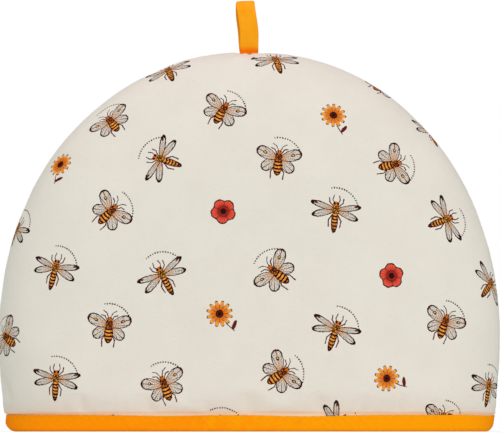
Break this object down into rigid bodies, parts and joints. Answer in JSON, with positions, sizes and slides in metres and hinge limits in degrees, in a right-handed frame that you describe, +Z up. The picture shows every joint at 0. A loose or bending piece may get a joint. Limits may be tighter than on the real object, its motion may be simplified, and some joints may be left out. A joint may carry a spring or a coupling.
{
  "type": "tea cosy",
  "caption": "Padded dome-shaped cloth tea cosy, open below, with a bound hem and a hanging loop on top.",
  "frame": {"origin": "middle of the hem, on the surface that the cosy stands on", "axes": "+Z up to the loop, +X along the wide side to the right of the front panel, +Y from front to back"},
  "size_m": [0.34, 0.1, 0.2924],
  "materials": {
    "cover_cotton": "cream printed cotton over padding, plain inside",
    "binding_cotton": "orange cotton binding with a slight sheen",
    "loop_tape": "orange folded cotton tape"
  },
  "bodies": {
    "root": {"front_panel": "cover_cotton", "back_panel": "cover_cotton", "hem_binding": "binding_cotton", "top_loop": "loop_tape"}
  },
  "joints": []
}
